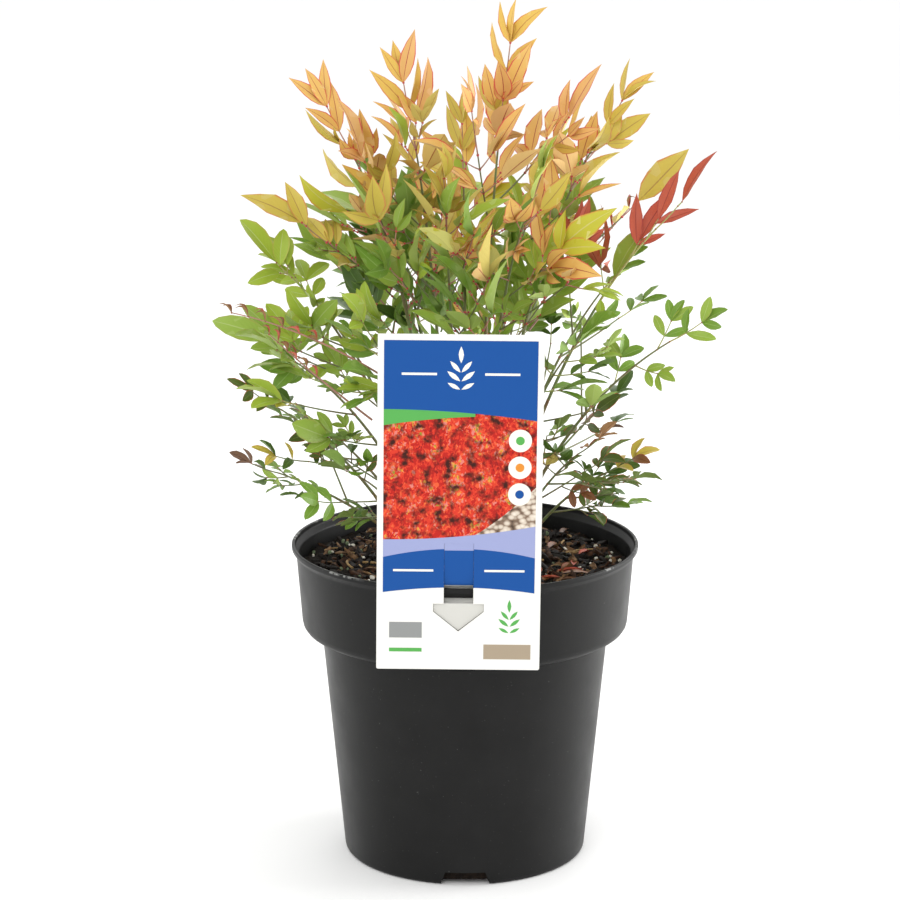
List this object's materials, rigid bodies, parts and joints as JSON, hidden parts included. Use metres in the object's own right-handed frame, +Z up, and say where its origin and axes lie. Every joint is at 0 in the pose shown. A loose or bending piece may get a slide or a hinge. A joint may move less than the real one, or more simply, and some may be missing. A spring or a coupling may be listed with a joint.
{
  "type": "potted heavenly bamboo",
  "caption": "Young evergreen heavenly bamboo shrub, a clump of thin canes with airy compound leaves tinted amber at the top, in a round nursery pot with a plain plant label.",
  "frame": {"origin": "centre of the pot's flat underside, on the pot's axis", "axes": "+Z up, -Y to the front with the plant label, +X to the right"},
  "size_m": [0.2908, 0.2395, 0.495],
  "materials": {
    "pot": "satin moulded, fine grain",
    "potting_mix": "moist bark mix, rough",
    "label": "printed plastic card, semi-gloss",
    "cane": "smooth young bark",
    "young_leaf": "thin waxy leaf, amber",
    "green_leaf": "waxy leaf, fresh green",
    "old_leaf": "waxy leaf, deep green"
  },
  "bodies": {
    "root": {"pot": "pot", "potting_mix": "potting_mix", "plant_label": "label", "tall_cane_1": "cane", "tall_cane_2": "cane", "tall_cane_3": "cane", "tall_cane_4": "cane", "tall_cane_5": "cane", "tall_cane_6": "cane", "tall_cane_7": "cane", "tall_cane_8": "cane", "tall_cane_9": "cane", "middle_cane_1": "cane", "middle_cane_2": "cane", "middle_cane_3": "cane", "middle_cane_4": "cane", "middle_cane_5": "cane", "middle_cane_6": "cane", "middle_cane_7": "cane", "middle_cane_8": "cane", "middle_cane_9": "cane", "middle_cane_10": "cane", "low_cane_1": "cane", "low_cane_2": "cane", "low_cane_3": "cane", "low_cane_4": "cane", "low_cane_5": "cane", "low_cane_6": "cane", "low_cane_7": "cane", "low_cane_8": "cane", "tall_foliage_1": "young_leaf", "tall_foliage_2": "young_leaf", "tall_foliage_3": "young_leaf", "tall_foliage_4": "young_leaf", "tall_foliage_5": "young_leaf", "tall_foliage_6": "young_leaf", "tall_foliage_7": "young_leaf", "tall_foliage_8": "young_leaf", "tall_foliage_9": "young_leaf", "middle_foliage_1": "green_leaf", "middle_foliage_2": "green_leaf", "middle_foliage_3": "green_leaf", "middle_foliage_4": "green_leaf", "middle_foliage_5": "green_leaf", "middle_foliage_6": "green_leaf", "middle_foliage_7": "green_leaf", "middle_foliage_8": "green_leaf", "middle_foliage_9": "green_leaf", "middle_foliage_10": "green_leaf", "low_foliage_1": "old_leaf", "low_foliage_2": "old_leaf", "low_foliage_3": "old_leaf", "low_foliage_4": "old_leaf", "low_foliage_5": "old_leaf", "low_foliage_6": "old_leaf", "low_foliage_7": "old_leaf", "low_foliage_8": "old_leaf"}
  },
  "joints": []
}
